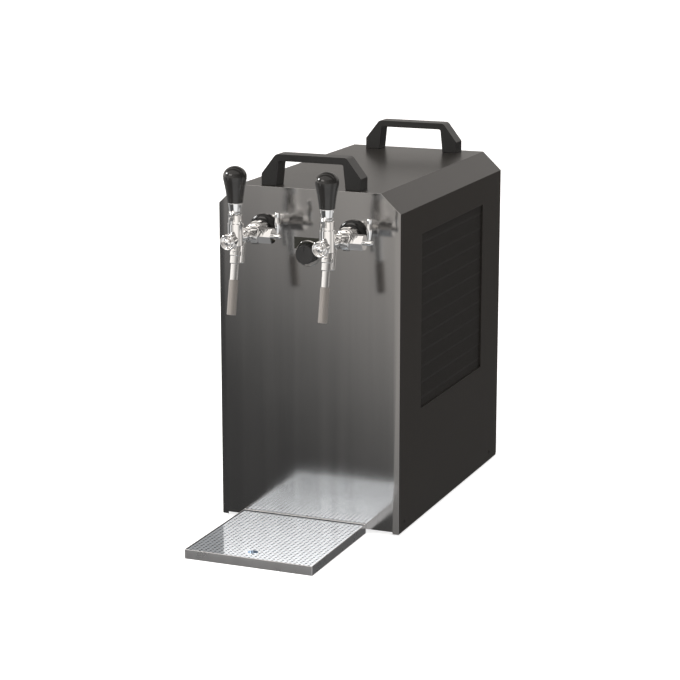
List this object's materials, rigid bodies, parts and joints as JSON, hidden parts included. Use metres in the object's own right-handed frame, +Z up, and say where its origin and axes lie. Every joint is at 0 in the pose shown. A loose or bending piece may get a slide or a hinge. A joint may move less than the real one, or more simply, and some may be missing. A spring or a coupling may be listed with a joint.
{
  "type": "draft beer dispenser",
  "caption": "Countertop dry-contact draft beer dispenser: folded sheet case with carry handles, chrome compensator taps with black lever knobs, loose perforated drip tray.",
  "frame": {"origin": "on the counter, under the middle of the whole object's footprint", "axes": "+Z up, +Y from the taps to the back, +X to the right of someone facing the taps"},
  "size_m": [0.3024, 0.723, 0.585],
  "materials": {
    "case_dark": "satin",
    "front_steel": "brushed",
    "base_zinc": "satin",
    "grille_dark": "satin",
    "handle_black": "satin",
    "screw_zinc": "satin",
    "foot_rubber": "matte",
    "screw_black": "satin",
    "tray_steel": "brushed",
    "grid_steel": "brushed",
    "dial_black": "satin",
    "dial_metal": "polished",
    "plate_dark": "gloss",
    "thermostat_case": "matte",
    "switch_black": "satin",
    "compressor_black": "gloss",
    "fin_aluminium": "satin",
    "shroud_metal": "satin",
    "fan_plastic": "satin",
    "block_jacket": "matte",
    "control_black": "matte",
    "line_clear": "gloss",
    "fitting_steel": "satin",
    "gland_black": "satin",
    "copper": "satin",
    "rosette_black": "satin",
    "tap_chrome": "polished",
    "knob_gloss": "gloss",
    "piston_brass": "satin",
    "tip_steel": "satin"
  },
  "bodies": {
    "cabinet": {"base_pan": "base_zinc", "front_panel": "front_steel", "case_cover": "case_dark", "rear_panel": "case_dark", "side_grille_left": "grille_dark", "side_grille_right": "grille_dark", "front_handle": "handle_black", "rear_handle": "handle_black", "handle_screws": "screw_zinc", "feet": "foot_rubber", "cover_screws": "screw_black", "dial_ring": "dial_metal", "dial_plate": "plate_dark", "thermostat": "thermostat_case", "switch_housing": "switch_black", "compressor": "compressor_black", "condenser": "fin_aluminium", "fan_shroud": "shroud_metal", "cold_block": "block_jacket", "control_box": "control_black", "beer_line_left": "line_clear", "beer_line_right": "line_clear", "beer_inlet_left": "fitting_steel", "beer_inlet_right": "fitting_steel", "cable_gland": "gland_black", "refrigerant_lines": "copper", "rosette_left": "rosette_black", "shank_left": "fitting_steel", "shank_nut_left": "fitting_steel", "coupling_nut_left": "tap_chrome", "tap_body_left": "tap_chrome", "bonnet_left": "tap_chrome", "front_cap_left": "tap_chrome", "spout_left": "tap_chrome", "spout_tip_left": "tip_steel", "creamer_tube_left": "tap_chrome", "rosette_right": "rosette_black", "shank_right": "fitting_steel", "shank_nut_right": "fitting_steel", "coupling_nut_right": "tap_chrome", "tap_body_right": "tap_chrome", "bonnet_right": "tap_chrome", "front_cap_right": "tap_chrome", "spout_right": "tap_chrome", "spout_tip_right": "tip_steel", "creamer_tube_right": "tap_chrome"},
    "tray": {"drip_tray": "tray_steel"},
    "grid": {"tray_grid": "grid_steel"},
    "dial": {"thermostat_knob": "dial_black"},
    "rocker": {"switch_rocker": "switch_black"},
    "fan": {"fan_rotor": "fan_plastic"},
    "lever_left": {"tap_lever_left": "tap_chrome", "lever_knob_left": "knob_gloss"},
    "lever_right": {"tap_lever_right": "tap_chrome", "lever_knob_right": "knob_gloss"},
    "piston_left": {"valve_piston_left": "piston_brass"},
    "piston_right": {"valve_piston_right": "piston_brass"},
    "flow_lever_left": {"compensator_lever_left": "tap_chrome"},
    "flow_lever_right": {"compensator_lever_right": "tap_chrome"}
  },
  "joints": [
    {"name": "tap_lever_left", "type": "hinge", "parent": "cabinet", "child": "lever_left", "pos_m": [-0.074, -0.2495, 0.491], "axis": [1, 0, 0], "range_deg": [-10, 35]},
    {"name": "valve_piston_left", "type": "slide", "parent": "cabinet", "child": "piston_left", "axis": [0, 1, 0], "range_m": [-0.0036, 0.0121]},
    {"name": "compensator_left", "type": "hinge", "parent": "cabinet", "child": "flow_lever_left", "pos_m": [-0.074, -0.2085, 0.472], "axis": [1, 0, 0], "range_deg": [-75, 75]},
    {"name": "tap_lever_right", "type": "hinge", "parent": "cabinet", "child": "lever_right", "pos_m": [0.074, -0.2495, 0.491], "axis": [1, 0, 0], "range_deg": [-10, 35]},
    {"name": "valve_piston_right", "type": "slide", "parent": "cabinet", "child": "piston_right", "axis": [0, 1, 0], "range_m": [-0.0036, 0.0121]},
    {"name": "compensator_right", "type": "hinge", "parent": "cabinet", "child": "flow_lever_right", "pos_m": [0.074, -0.2085, 0.472], "axis": [1, 0, 0], "range_deg": [-75, 75]},
    {"name": "thermostat_turn", "type": "hinge", "parent": "cabinet", "child": "dial", "pos_m": [0, -0.1465, 0.437], "axis": [0, 1, 0], "range_deg": [0, 270]},
    {"name": "power_rocker", "type": "hinge", "parent": "cabinet", "child": "rocker", "pos_m": [-0.105, 0.3375, 0.117], "axis": [1, 0, 0], "range_deg": [-14, 0]},
    {"name": "fan_spin", "type": "hinge", "parent": "cabinet", "child": "fan", "pos_m": [0.096, 0.1535, 0.325], "axis": [1, 0, 0], "continuous": true},
    {"name": "tray_pull", "type": "slide", "parent": "cabinet", "child": "tray", "axis": [0, -1, 0], "range_m": [0, 0.25]},
    {"name": "grid_lift", "type": "slide", "parent": "tray", "child": "grid", "axis": [0, 0, 1], "range_m": [0, 0.06]}
  ],
  "couplings": [
    {"joint": "valve_piston_left", "follows": "tap_lever_left", "m_per_rad": 0.0195},
    {"joint": "valve_piston_right", "follows": "tap_lever_right", "m_per_rad": 0.0195}
  ]
}
